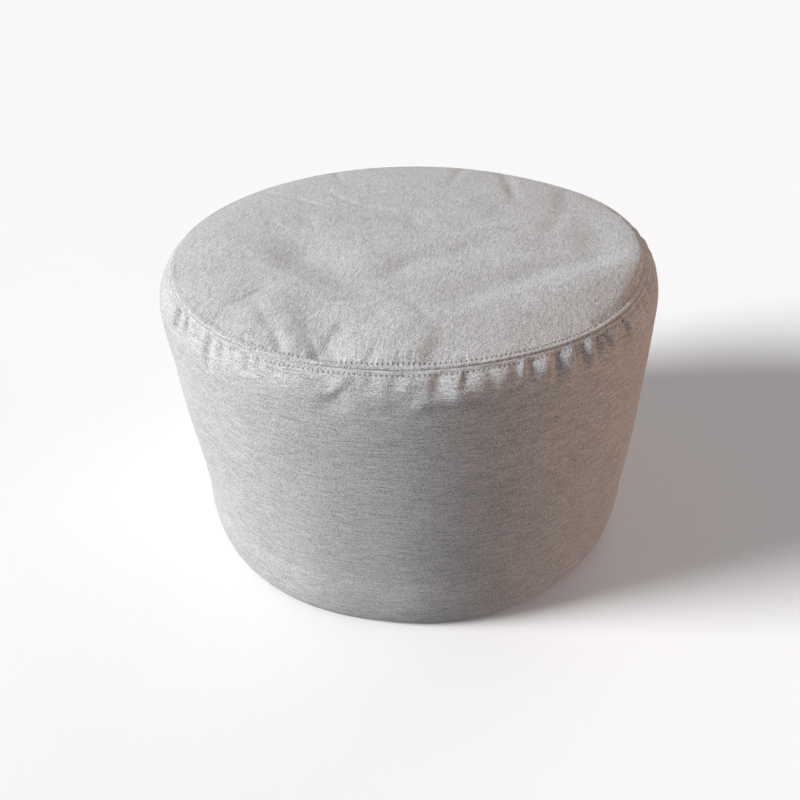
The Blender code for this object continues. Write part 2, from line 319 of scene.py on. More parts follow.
WALL_FOLDS = [Fold(*row) for row in (
    ((-104.8, 24), (-107.6, 31), 0, 20, 7, -1.7, -1, 0.1),
    ((-103, 7), (-106, 17), 0, 7, 6, 2, 1.5),
    ((-90, 17), (-94, 26), 0, 16, 14, -1, -0.9),
    ((-44.6, 9), (-40.8, 3), 0, 2.6, 2.6, 0.9, 0.9, 0.3),
    ((-43.6, 13), (-39.8, 7), 0, 2.6, 2.6, 0.8, 0.8, 0.3),
    ((15, 14), (8, 34), 0, 9, 8, -2, -1.4, 0.2),
    ((60, 12), (66, 32), 0, 8, 9, -1.8, -1.4, 0.2),
    ((127, 12), (121, 34), 0, 9, 8, -2.2, -1.6, 0.2),
)]

Swell = namedtuple("Swell", "angle down half_turn half_height out")
WALL_SWELLS = [Swell(*row) for row in (
    (-113, 16, 9, 17, 2),
    (-78, 18, 31, 19, 2.4),
    (-91.2, 10, 2.6, 13, 1.2),
    (-88.6, 27, 2.6, 9, 1),
    (-81.4, 22, 3, 12, 1.4),
    (-77, 16, 3, 12, 0.8),
    (-72.6, 13, 2.6, 11, 0.7),
    (-63.2, 13, 2.4, 12, 1),
    (-49.6, 14, 2.6, 12, -1.6),
    (-72, 52, 16, 30, -1),
    (-100, 60, 14, 34, 0.8),
    (60, 17, 60, 17, 1.2),
    (160, 17, 40, 17, 1.4),
    (150, 160, 50, 120, 1.6),
    (35, 190, 45, 110, -1.4),
    (-172, 45, 22, 45, 2.2),
    (-35, 210, 40, 100, 1.2),
    (-165, 205, 32, 75, -2.6),
    (-124, 299, 17, 6, 1.1),
    (-60, 296, 14, 6, 0.7),
    (70, 298, 18, 7, 0.9),
    (160, 297, 14, 6, 0.8),
)]
print(len(BAND_PUCKERS), "puckers on the band,", len(PANEL_PUCKERS), "on the panel")

# %% [markdown]
# ## Fine ripples
# Between the main puckers the cloth ripples at nearly every stitch. A longer table could hold
# that, but a seeded random draw is enough, and gives the same ripples on every run. The slack
# cloth is also faintly uneven all over, by a sum of long waves in many directions.

# %% Ripples beside the seam and faint waves
RIPPLE_COUNT = 150
RIPPLE_START = 1.5 * MM
WAVE_COUNT = 28


def seam_ripples(angle, away, seed, strength):
    """Small dents that start at the stitches and fade away from the seam."""
    draw = np.random.default_rng(seed)
    total = np.zeros_like(angle)
    for number in range(RIPPLE_COUNT):
        centre = 360 * (number + draw.uniform(-0.45, 0.45)) / RIPPLE_COUNT
        width = draw.uniform(0.7, 1.5)
        reach = draw.uniform(7, 20) * MM
        depth = draw.uniform(-1.0, 0.6) * strength
        lean = draw.uniform(-0.12, 0.12) / MM
        aside = turn_between(angle, centre + lean * away) / width
        total += depth * hill(aside) * (1 - ramp(away / reach))
    return total * ramp((away - RIPPLE_START) / PANEL_ROW)


def faint_waves(points, seed, longest, shortest, strength):
    """A sum of slow waves through space, stronger where they are longer."""
    draw = np.random.default_rng(seed)
    total = np.zeros(points.shape[:-1])
    for number in range(WAVE_COUNT):
        length = longest * (shortest / longest) ** (number / (WAVE_COUNT - 1))
        direction = draw.normal(size=3)
        direction /= np.linalg.norm(direction)
        phase = draw.uniform(0, 2 * np.pi)
        total += (length / longest) * np.sin(2 * np.pi * (points @ direction) / length + phase)
    return total * strength / math.sqrt(WAVE_COUNT / 2)


print(RIPPLE_COUNT, "ripples on each side of the seam, and", WAVE_COUNT, "faint waves")

# %% [markdown]
# ## The seam's section
# Where two panels are sewn, the cloth is held flat by its allowance and dips at the seam and
# again at the topstitches. Short tables hold this section: the distance from the seam, and how
# far the cloth stands off its smooth surface, in millimetres. Each panel has a tight section and
# a slack one without the dips, and the pull of the thread mixes the two.

# %% Section tables
PANEL_SECTION = [
    (0.3, -3.2), (0.5, -2.5), (0.8, -1.85), (1.2, -1.5), (1.7, -1.45), (2.6, -1.5), (3.6, -1.6),
    (4.6, -1.75), (5.4, -1.5), (6.6, -1.35), (8.6, -1.1), (12, -0.8), (20, -0.5), (40, 0),
]
PANEL_SLACK = [
    (0.3, -3), (0.9, -2.5), (1.7, -2.15), (2.6, -1.95), (4.6, -1.65), (6.6, -1.45), (12, -1),
    (20, -0.6), (40, 0),
]
BAND_SECTION = [
    (0, -1.3), (0.35, -0.5), (0.7, -0.1), (1.2, 0), (2.5, 0.05), (3.3, 0), (4, -0.2),
    (4.8, 0), (6, 0.15), (10, 0.2), (16, 0),
]
BAND_SLACK = [
    (0, -1.3), (0.35, -0.9), (0.9, -0.6), (1.7, -0.4), (2.5, -0.25), (4, -0.1), (6, 0),
    (10, 0.1), (16, 0),
]


def read_section(tight, slack, pull, away):
    """The mix of a tight and a slack section at distances from the seam."""
    shapes = [np.interp(away / MM, *zip(*table)) * MM for table in (tight, slack)]
    return shapes[0] * pull + shapes[1] * (1 - pull)


dip = read_section(PANEL_SECTION, PANEL_SLACK, 1.0, PANEL_ROW)
print("a tight panel dips %.2f mm at its stitches" % (-dip / MM))

# %% [markdown]
# ## Heights from the tables
# A real pucker is deepest just off the stitches, fades away from the seam, and pushes the spare
# cloth up into a low bank on either side. A fold fades at both ends. Both could be sculpted. Here
# each is a product of the smooth curves above, so one number changes one fold and no other.

# %% Heights of puckers and folds
PUCKER_START = 1.2 * MM
PUCKER_RISE = 4.5 * MM
PUCKER_FULL = 0.4
BANK_PLACE = 1.25
BANK_WIDTH = 0.95
BANK_SHARE = 0.28
FOLD_FADE = 0.2


def seam_puckers(table, angle, away):
    """Valleys that start at the seam, with the spare cloth standing up beside each."""
    total = np.zeros_like(angle)
    rise = ramp((away - PUCKER_START) / PUCKER_RISE)
    for row in table:
        line = row.angle - row.lean * away / (10 * MM)
        aside = sided(turn_between(line, angle), row.left, row.right)
        past_full = away / MM - PUCKER_FULL * row.length
        fade = 1 - ramp(past_full / ((1 - PUCKER_FULL) * row.length))
        valley = crease(aside, row.crisp)
        banks = hill((np.abs(aside) - BANK_PLACE) / BANK_WIDTH)
        total += row.depth * MM * rise * fade * (BANK_SHARE * banks - valley)
    return total


def fold_heights(table, x, y):
    """The sum of all folds of a table at points of a flat plan."""
    total = np.zeros_like(x)
    for fold in table:
        share, aside, length = along_fold(x, y, fold)
        tip = 0.5 * (fold.left + fold.right) * MM / length
        past_end = (np.abs(share - 0.5) - (0.5 - FOLD_FADE)) / (FOLD_FADE + tip)
        rise = fold.rise + (fold.last - fold.rise) * np.clip(share, 0, 1)
        across = crease(sided(aside, fold.left * MM, fold.right * MM), fold.crisp)
        total += rise * MM * across * hill(np.clip(past_end, 0, 1))
    return total


print("the panel adds up", len(PANEL_FOLDS), "folds, and the wall", len(WALL_FOLDS))

# %% [markdown]
# ## The shape of the top panel
# The panel is cut as a flat disc, and the beads push it up into a crown. A mesh could be sculpted
# by hand, but a function does more: asked by angle and by distance in from the seam, it gives a
# point in space, so the mesh and the stitches both lie on it. It adds up the crown and every
# height from the tables, and holds the folds flat close to the seam.

# %% Surface of the top panel
CROWN_POWER = 3
HELD_FLAT = 2.4 * MM
FREE_AFTER = 7 * MM
LIFT_REACH = 50 * MM
PANEL_WAVES = 0.5 * MM
PANEL_RIPPLES = 0.4 * MM


def panel_surface(angle, inset):
    """Points of the top panel at angles in degrees and distances in from the seam."""
    radius = SEAM_RADIUS - inset
    reach = radius + wander(angle, "seam") * radius / SEAM_RADIUS
    turn = np.radians(angle)
    x, y = reach * np.cos(turn), reach * np.sin(turn)
    crown = CROWN_HEIGHT * (1 - (radius / SEAM_RADIUS) ** CROWN_POWER)
    loose = ramp((inset - HELD_FLAT) / FREE_AFTER)
    flat = np.stack([x, y, np.zeros_like(x)], axis=-1)
    waves = faint_waves(flat, seed=3, longest=0.12, shortest=0.026, strength=PANEL_WAVES)
    ripples = seam_ripples(angle, inset, seed=11, strength=PANEL_RIPPLES)
    lift = loose * (fold_heights(PANEL_FOLDS, x, y) + waves)
    lift += wander(angle, "lift") * (1 - ramp(inset / LIFT_REACH))
    lift += seam_puckers(PANEL_PUCKERS, angle, inset) + ripples
    lift += read_section(PANEL_SECTION, PANEL_SLACK, wander(angle, "pull"), inset)
    return np.stack([x, y, SEAM_HEIGHT + LIP + crown + lift], axis=-1)


middle = panel_surface(np.array([0.0]), np.array([SEAM_RADIUS]))[0]
print("the panel's middle is %.1f mm above the floor" % (middle[2] / MM))

# %% [markdown]
# ## The shape of the side band
# The band is one long strip that tapers down to the foot. Its plain section is a round shoulder
# under the seam, a slightly full wall, and a heel that turns in to the floor. The tables push it
# in and out from there, again in a function, asked by angle and by distance down from the seam.
# Near the seam the puckers also push upwards, because the shoulder slopes.

# %% Surface of the side band
WALL_END = SEAM_HEIGHT - HEEL_HEIGHT
SHOULDER_POWER = 2.4
FOOT_FROM = 60 * MM
BAND_HELD = 2 * MM
BAND_FREE_AFTER = 6 * MM
WALL_WAVES = 0.35 * MM
WALL_RIPPLES = 0.35 * MM
WAVE_STRETCH = 0.45
SHOULDER_TILT = 0.75
TILT_REACH = 24 * MM


def wall_section(down):
    """Radius and height of the plain wall at distances below the seam, heel included."""
    shoulder = SEAM_HEIGHT - WIDEST_HEIGHT
    above = np.clip(1 - down / shoulder, 0, 1)
    high = WIDEST_RADIUS - (WIDEST_RADIUS - SEAM_RADIUS) * above ** SHOULDER_POWER
    share = np.clip((down - shoulder) / (WALL_END - shoulder), 0, 1)
    full = WALL_FULLNESS * 4 * share * (1 - share)
    middle = WIDEST_RADIUS + (HEEL_RADIUS - WIDEST_RADIUS) * share + full
    lift = np.clip((down - WALL_END) / HEEL_HEIGHT, 0, 1)
    radius = np.where(down <= shoulder, high, middle)
    heel = FOOT_RADIUS + (HEEL_RADIUS - FOOT_RADIUS) * np.sqrt(1 - lift ** 2)
    radius = np.where(down > WALL_END, heel, radius)
    return radius, SEAM_HEIGHT - down, FOOT_SHIFT * share


def wall_folds(angle, down):
    """The slanting folds. Their table has degrees around and millimetres down."""
    arc = WIDEST_RADIUS * math.pi / 180

    def unrolled(place):
        return place[0] * arc / MM, -place[1]

    table = [row._replace(start=unrolled(row.start), end=unrolled(row.end)) for row in WALL_FOLDS]
    return fold_heights(table, turn_between(angle, 0) * arc, -down)


def wall_swells(angle, down):
    total = np.zeros_like(angle)
    for row in WALL_SWELLS:
        aside = turn_between(angle, row.angle) / row.half_turn
        below = (down / MM - row.down) / row.half_height
        total += row.out * MM * hill(aside) * hill(below)
    return total


def band_surface(angle, down):
    """Points of the side band at angles in degrees and distances below the seam."""
    radius, height, shift = wall_section(down)
    low = ramp((down - FOOT_FROM) / (WIDEST_HEIGHT - HEEL_HEIGHT))
    plain = radius + wander(angle, "seam") * (1 - low) + wander(angle, "foot") * low
    turn = np.radians(angle)
    place = np.stack([plain * np.cos(turn), plain * np.sin(turn), WAVE_STRETCH * height], axis=-1)
    waves = faint_waves(place, seed=5, longest=0.16, shortest=0.05, strength=WALL_WAVES)
    ripples = seam_ripples(angle, down, seed=23, strength=WALL_RIPPLES)
    loose = ramp((down - BAND_HELD) / BAND_FREE_AFTER)
    out = loose * (wall_swells(angle, down) + waves + wall_folds(angle, down))
    out += seam_puckers(BAND_PUCKERS, angle, down) + ripples
    out += read_section(BAND_SECTION, BAND_SLACK, wander(angle, "pull"), down)
    tilt = SHOULDER_TILT * (1 - ramp(down / TILT_REACH))
    reach = plain + out * np.cos(tilt)
    z = height + out * np.sin(tilt) + wander(angle, "lift") * (1 - ramp(down / LIFT_REACH))
    return np.stack([shift + reach * np.cos(turn), reach * np.sin(turn), z], axis=-1)


print("front of the seam:", band_surface(np.array([-90.0]), np.array([0.0])).round(4).tolist())

# %% [markdown]
# ## From rings to a mesh
# Each panel is skinned from rings of points. Near the seam a ring has many columns, because the
# puckers are narrow there. Where the cloth is plain or the ring is small, every second column is
# enough, and three triangles join each pair to the next ring. Every face corner gets two UVs in
# metres: one along the threads, for the weave, and one along the seam and away from it, for the
# needle holes. Each point also keeps the pull of the thread.

# %% Ring mesh builder
COLUMNS = 720
BACK_SEAM = 98.0


def add_object(name, data):
    """Put a mesh, camera or light into the scene as an object."""
    item = bpy.data.objects.new(name, data)
    bpy.context.scene.collection.objects.link(item)
    return item


def ring_angles(count):
    """Angles of a ring's columns, starting at the closing seam behind the stool."""
    return BACK_SEAM + 360 * np.arange(count) / count


def ring_faces(first, count, second, next_count):
    """Faces between two rings, as rows of point numbers and rows of column numbers."""
    faces = []
    if count == next_count:
        for index in range(count):
            after = (index + 1) % count
            corners = (first + index, second + index, second + after, first + after)
            faces.append((corners, (index, index, index + 1, index + 1)))
        return faces
    for index in range(next_count):
        left, right = second + index, second + (index + 1) % next_count
        start = first + 2 * index
        middle, last = start + 1, first + (2 * index + 2) % count
        columns = 2 * index
        faces.append(((start, left, middle), (columns, columns, columns + 1)))
        faces.append(((middle, left, right), (columns + 1, columns, columns + 2)))
        faces.append(((middle, right, last), (columns + 1, columns + 2, columns + 2)))
    return faces


def ring_mesh(name, rings, thread_uv, material):
    """Skin rings of points. rings holds (points, count, place), from one end to the other."""
    points, faces, threads, sewing, pulls = [], [], [], [], []
    starts = []
    for ring, count, _ in rings:
        starts.append(len(points))
        points.extend(ring.tolist())
        pulls.extend(wander(ring_angles(count), "pull").tolist())
    for number in range(len(rings) - 1):
        count, next_count = rings[number][1], rings[number + 1][1]
        for corners, columns in ring_faces(starts[number], count, starts[number + 1], next_count):
            faces.append(corners)
            for corner, column in zip(corners, columns):
                upper = corner < starts[number + 1]
                place = rings[number][2] if upper else rings[number + 1][2]
                turn = 2 * math.pi * column / count
                threads.append(thread_uv(turn, place, points[corner]))
                sewing.append((turn * SEAM_RADIUS, place))
    for number, flip in ((0, False), (len(rings) - 1, True)):
        count = rings[number][1]
        corners = [starts[number] + index for index in range(count)]
        faces.append(tuple(reversed(corners)) if flip else tuple(corners))
        for corner in faces[-1]:
            threads.append(thread_uv(0.0, rings[number][2], points[corner]))
            sewing.append((0.0, rings[number][2]))
    mesh = bpy.data.meshes.new(name)
    mesh.from_pydata(points, [], faces)
    for title, places in (("threads", threads), ("sewing", sewing)):
        layer = mesh.uv_layers.new(name=title)
        layer.data.foreach_set("uv", np.array(places, dtype=np.float32).ravel())
    mesh.attributes.new("pull", "FLOAT", "POINT").data.foreach_set("value", pulls)
    mesh.materials.append(material)
    mesh.shade_smooth()
    mesh.update()
    print(name, "has", sum(len(face) - 2 for face in faces), "triangles")
    return add_object(name, mesh)


# %% [markdown]
# ## Shader maths that reads like maths
# A node tree could be linked one socket at a time, but a formula is easier to read. This class
# wraps a socket, so that plus, minus and times between sockets and numbers add Math nodes. One
# more method makes any other node from its type, its settings and its inputs.

# %% A socket that knows arithmetic
class Wire:
    def __init__(self, tree, socket):
        self.tree = tree
        self.socket = socket

    def node(self, kind, settings, output=0, **inputs):
        """Add a node, give one output. Inputs go by name, _ for a space, or by i and number."""
        made = self.tree.nodes.new(kind)
        for key, value in settings.items():
            setattr(made, key, value)
        for key, value in inputs.items():
            socket = made.inputs[int(key[1:])] if key[0] == "i" and key[1:].isdigit() else None
            socket = socket or made.inputs[key.replace("_", " ")]
            if isinstance(value, Wire):
                self.tree.links.new(value.socket, socket)
            else:
                socket.default_value = value
        return Wire(self.tree, made.outputs[output])

    def output(self, number):
        """Another output of the same node."""
        return Wire(self.tree, self.socket.node.outputs[number])

    def math(self, operation, *values):
        inputs = {"i%d" % number: value for number, value in enumerate(values)}
        return self.node("ShaderNodeMath", {"operation": operation}, **inputs)

    def step(self, low, high):
        """0 below low, 1 above high and smooth between."""
        return self.node(
            "ShaderNodeMapRange", {"interpolation_type": "SMOOTHSTEP"},
            Value=self, From_Min=low, From_Max=high,
        )

    def __add__(self, other):
        return self.math("ADD", self, other)

    def __sub__(self, other):
        return self.math("SUBTRACT", self, other)

    def __mul__(self, other):
        return self.math("MULTIPLY", self, other)

    def __rsub__(self, other):
        return self.math("SUBTRACT", other, self)

    __rmul__ = __mul__


# %% [markdown]
# ## Needle holes and the seam's painted shade
# At every stitch the needle leaves a small hole, and the seam itself is a narrow cleft in shade.
# Holes could be cut into the mesh, but at a millimetre each they are only dented, and their shade
# is painted dark into the cloth's colour, like the shade in the seam's cleft and in the closing
# seam's groove. The sewing UV says how far around and how far from the seam a point is, so a row
# of dots is one distance that repeats at each stitch. The holes beside the top seam and the
# cleft's painted shade fade where the pull is slack.

# %% Sewing marks and painted shade
# shade: how dark a needle hole is painted, as its shade, from 0 to 1
HoleRow = namedtuple("HoleRow", "away radius stretch shade")
PANEL_HOLES = HoleRow(PANEL_ROW, 1.1 * MM, 0.75, 0.8)
BAND_HOLES = HoleRow(BAND_ROW, 1.0 * MM, 0.85, 0.62)
NO_HOLES = HoleRow(-1.0, 1.0 * MM, 1.0, 0.0)
HOLE_CORE = 0.3
HOLE_PULL = (0.05, 0.6)
CLEFT_PULL = (0.5, 1.0)
# painted shade in the top seam's cleft and down the closing seam's groove
CLEFT_EDGE = (0.2 * MM, 0.6 * MM)
CLEFT_SHADE = 0.42
GROOVE_EDGE = (0.2 * MM, 0.8 * MM)
GROOVE_SHADE = 0.6
CLOSING_ROW = 5.0 * MM


def hole_mask(along, across, row):
    """1 inside each needle hole of a row of stitches, 0 outside."""
    near = along.math("PINGPONG", along, STITCH_PITCH / 2)
    side = across * row.stretch
    far = near.math("SQRT", near * near + side * side)
    return 1 - far.step(HOLE_CORE * row.radius, row.radius)


def sewing_shade_and_dents(wire, row, closing):
    """Painted shade and dents of the needle holes and the seam's cleft, and of the closing seam's
    groove and its own row.
    """
    uv = wire.node("ShaderNodeUVMap", {"uv_map": "sewing"})
    along = wire.node("ShaderNodeSeparateXYZ", {}, Vector=uv)
    away = along.output(1)
    pull = wire.node("ShaderNodeAttribute", {"attribute_name": "pull"}, output="Fac")
    # needle holes: painted shade in the colour, and a dent in the bump
    shade_and_dents = hole_mask(along, away - row.away, row) * (row.shade * pull.step(*HOLE_PULL))
    # the seam's cleft gets painted shade, strongest where the thread pulls tight
    cleft = 1 - away.math("ABSOLUTE", away).step(*CLEFT_EDGE)
    shade_and_dents = shade_and_dents.math("MAXIMUM", shade_and_dents, cleft * (CLEFT_SHADE * pull.step(*CLEFT_PULL)))
    if closing:
        down_row = hole_mask(away - row.away, along - CLOSING_ROW, row) * row.shade
        # the closing seam's groove gets painted shade as well
        groove = 1 - along.math("MINIMUM", along, SEAM_LENGTH - along).step(*GROOVE_EDGE)
        shade_and_dents = shade_and_dents.math("MAXIMUM", shade_and_dents, down_row)
        shade_and_dents = shade_and_dents.math("MAXIMUM", shade_and_dents, groove * GROOVE_SHADE)
    return shade_and_dents


print("holes of %.1f mm on the panel" % (2 * PANEL_HOLES.radius / MM))

# %% [markdown]
# ## Heathered plain weave
# The cover is a plain weave in light grey. Its yarns are heathered, lighter and darker along
# their length, and the weave shows the yarns of both directions by turns, which gives a fine
# grain. Slubs, long thicker places, show as faint streaks. A picture of cloth would repeat and
# blur up close, so the shader works the weave out: it finds the yarn at a point from the thread
# UV, reads a noise along it, and mixes two greys.

# %% The cloth finish
YARN = 0.8 * MM
YARN_JUMP = 1.37
TINT_LENGTH = 1.7 * MM
YARN_CONTRAST = 2.6
CLOUD_CONTRAST = 0.2
BUMP_HEIGHT = 0.2 * MM
CROSSING_RELIEF = 0.25
HOLE_RELIEF = 2.4
# a near black, painted in as the shade of needle holes, the seam's cleft and the closing groove
PAINTED_SHADE_GREY = (0.06, 0.06, 0.06, 1.0)
LIGHT_GREY = (0.64, 0.64, 0.64, 1.0)
DARK_GREY = (0.26, 0.26, 0.26, 1.0)
MATT = {"Roughness": 0.92, "Specular IOR Level": 0.2, "Sheen Weight": 0.1, "Sheen Roughness": 0.6}
PANEL_SLUBS = (1.05, 11 * MM, 0.9 * MM)
BAND_SLUBS = (1.0, 20 * MM, 0.9 * MM)


def yarn_noise(wire, along, across, length, seed, width=YARN):
    """A noise that is the same across one yarn and changes along it."""
    index = wire.math("FLOOR", across * (1 / width))
    place = wire.node("ShaderNodeCombineXYZ", {}, X=along * (1 / length), Y=index * YARN_JUMP + seed)
    return wire.node(
        "ShaderNodeTexNoise", {"noise_dimensions": "2D"},
        Vector=place, Scale=1.0, Detail=1.0, Roughness=0.6,
    )


def mix_greys(wire, share, first, second):
    settings = {"data_type": "RGBA", "clamp_factor": True}
    return wire.node("ShaderNodeMix", settings, output=2, i0=share, i6=first, i7=second)


def cloth_finish(name, slubs, row, closing):
    """A matt woven cloth. slubs holds their strength, length and width, and row the needle holes."""
    material = bpy.data.materials.new(name)
    material.use_nodes = True
    tree = material.node_tree
    shader = tree.nodes["Principled BSDF"]
    wire = Wire(tree, shader.outputs[0])
    uv = wire.node("ShaderNodeUVMap", {"uv_map": "threads"})
    u = wire.node("ShaderNodeSeparateXYZ", {}, Vector=uv)
    v = u.output(1)
    streak, slub_length, slub_width = slubs
    weft = yarn_noise(wire, u, v, TINT_LENGTH, seed=11.5)
    warp = yarn_noise(wire, v, u, TINT_LENGTH, seed=47.5)
    slub = yarn_noise(wire, u, v, slub_length, seed=83.5, width=slub_width)
    crossing = wire.math("FLOOR", u * (1 / YARN)) + wire.math("FLOOR", v * (1 / YARN))
    on_top = wire.math("PINGPONG", crossing, 1.0)
    yarn = weft * on_top + warp * (1 - on_top)
    cloud = wire.node(
        "ShaderNodeTexNoise", {"noise_dimensions": "2D"}, Vector=uv, Scale=18.0, Detail=3.0,
    )
    tone = (yarn - 0.5) * YARN_CONTRAST + (slub - 0.5) * streak
    tone = tone + (cloud - 0.5) * CLOUD_CONTRAST + 0.5
    mixed = mix_greys(wire, tone, DARK_GREY, LIGHT_GREY)
    shade_and_dents = sewing_shade_and_dents(wire, row, closing)
    # the painted shade of holes, cleft and groove darkens the woven grey
    shaded_colour = mix_greys(wire, shade_and_dents, mixed, PAINTED_SHADE_GREY)
    tree.links.new(shaded_colour.socket, shader.inputs["Base Color"])
    over = wire.math("SINE", u * (math.pi / YARN)) * wire.math("SINE", v * (math.pi / YARN))
    height = over * CROSSING_RELIEF + yarn + slub * (0.5 * streak) - shade_and_dents * HOLE_RELIEF
    bump = wire.node("ShaderNodeBump", {}, Height=height, Strength=1.0, Distance=BUMP_HEIGHT)
    tree.links.new(bump.socket, shader.inputs["Normal"])
    for title, value in MATT.items():
        shader.inputs[title].default_value = value
    return material


top_cloth = cloth_finish("top_cloth", PANEL_SLUBS, PANEL_HOLES, closing=False)
band_cloth = cloth_finish("band_cloth", BAND_SLUBS, BAND_HOLES, closing=True)
base_cloth = cloth_finish("base_cloth", BAND_SLUBS, NO_HOLES, closing=False)
print("finishes:", [finish.name for finish in (top_cloth, band_cloth, base_cloth)])

# %% [markdown]
# ## The top panel
# The panel is skinned from the seam in to its middle, and closed by a flat underside that is
# hidden inside the stool. A plain grid would be as fine everywhere, but rings can lie close
# together just beside the seam, where the section changes within a millimetre. The threads run
# nearly front to back, so the thread UV is the plan turned by the cut's angle.

# %% Skin the top panel
FINE_INSETS = [0.3, 0.5, 0.8, 1.2, 1.8, 2.6, 3.6, 4.6, 5.4, 6.6, 8.2, 10, 12, 14.2]
RING_STEP = 2.5
LAST_RADIUS = 5
HALVE_BELOW = 0.62
THREAD_TURN = math.radians(78)
UNDERSIDE = SEAM_HEIGHT - 1.4 * MM


def panel_rings():
    """Rings of the panel from its underside, over the lip and in to the middle."""
    insets = list(FINE_INSETS)
    while insets[-1] < SEAM_RADIUS / MM - LAST_RADIUS:
        insets.append(insets[-1] + RING_STEP)
    low_lip = panel_surface(ring_angles(COLUMNS), np.full(COLUMNS, insets[0] * MM))
    low_lip[:, 2] = UNDERSIDE + wander(ring_angles(COLUMNS), "lift")
    rings = [(low_lip, COLUMNS, 0.0)]
    for inset in insets:
        radius = SEAM_RADIUS - inset * MM
        count = COLUMNS
        while radius / SEAM_RADIUS < HALVE_BELOW * count / COLUMNS:
            count //= 2
        points = panel_surface(ring_angles(count), np.full(count, inset * MM))
        rings.append((points, count, inset * MM))
    return rings


def panel_uv(turn, place, point):
    along = point[0] * math.cos(THREAD_TURN) + point[1] * math.sin(THREAD_TURN)
    across = point[1] * math.cos(THREAD_TURN) - point[0] * math.sin(THREAD_TURN)
    return along, across


top_panel = ring_mesh("top_panel_cloth", panel_rings(), panel_uv, top_cloth)

# %% [markdown]
# ## The side band
# The band starts hidden under the top panel's edge, comes out of the seam, and runs down to the
# heel. Blender's own tools could unroll it, but its threads run straight around the stool, so
# its thread UV is simply the length around and the distance down.

# %% Skin the side band
BAND_DOWNS = [0, 0.35, 0.9, 1.7, 2.5, 3.3, 4.0, 4.8, 6.0, 7.6]
NEAR_STEP = 2.2
FAR_STEP = 4.5
NEAR_END = 66
HEEL_STEPS = 14
HEEL_SHARE = 0.94
TUCK = 9 * MM
PARTING_GAP = 0.4 * MM


def band_rings():
    """Rings of the band from its tucked top edge down to the floor seam."""
    downs = list(BAND_DOWNS)
    while downs[-1] < WALL_END / MM - FAR_STEP:
        downs.append(downs[-1] + (NEAR_STEP if downs[-1] < NEAR_END else FAR_STEP))
    turn_under = np.linspace(0, 0.5 * np.pi * HEEL_SHARE, HEEL_STEPS)
    downs += list((WALL_END + HEEL_HEIGHT * np.sin(turn_under)) / MM)
    angles = ring_angles(COLUMNS)
    tucked = band_surface(angles, np.zeros(COLUMNS)) * (1 - TUCK / SEAM_RADIUS)
    tucked[:, 2] = UNDERSIDE - PARTING_GAP + wander(angles, "lift")
    rings = [(tucked, COLUMNS, -TUCK)]
    for down in downs:
        count = COLUMNS if down < NEAR_END else COLUMNS // 2
        points = band_surface(ring_angles(count), np.full(count, down * MM))
        if down == 0:
            points[:, 2] = tucked[:, 2]
        rings.append((points, count, down * MM))
    return rings


def band_uv(turn, place, point):
    return turn * WIDEST_RADIUS, -place


side_band = ring_mesh("side_band_cloth", band_rings(), band_uv, band_cloth)

# %% [markdown]
# ## The base panel
# The stool stands on a flat round panel. Only its rim could ever show, so a plain disc with a
# rounded edge is enough. It is skinned from a table of its section: the distance in from the rim
# and the height above the floor, in millimetres.

# %% Skin the base panel
BASE_SECTION = [(0, 2.4), (0, 1), (0.25, 0.4), (0.8, 0.05), (1.6, 0)]
BASE_INSET = 1.6 * MM


def base_rings():
    count = COLUMNS // 2
    angles = ring_angles(count)
    turn = np.radians(angles)
    rings = []
    for inset, height in BASE_SECTION:
        radius = FOOT_RADIUS + wander(angles, "foot") - BASE_INSET - inset * MM
        x, y = FOOT_SHIFT + radius * np.cos(turn), radius * np.sin(turn)
        rings.append((np.stack([x, y, np.full(count, height * MM)], axis=-1), count, inset * MM))
    return rings


base_panel = ring_mesh("base_panel_cloth", base_rings(), panel_uv, base_cloth)

# %% [markdown]
# ## Topstitching
# A row of stitches runs around each side of the top seam, and one more down the closing seam at
# the back. A stitch is a short thread that dives into the cloth at both ends. A loop could copy
# one shape some 700 times, but Geometry Nodes do it in one go: they set a long bead on every point
# of a path, turned along it, laid flat on the cloth, and a bit longer or shorter by a seeded draw.

# %% The stitch tree
STITCH_SIZES = {"Length": 3.7 * MM, "Thickness": 0.75 * MM, "Slant": 0.14}


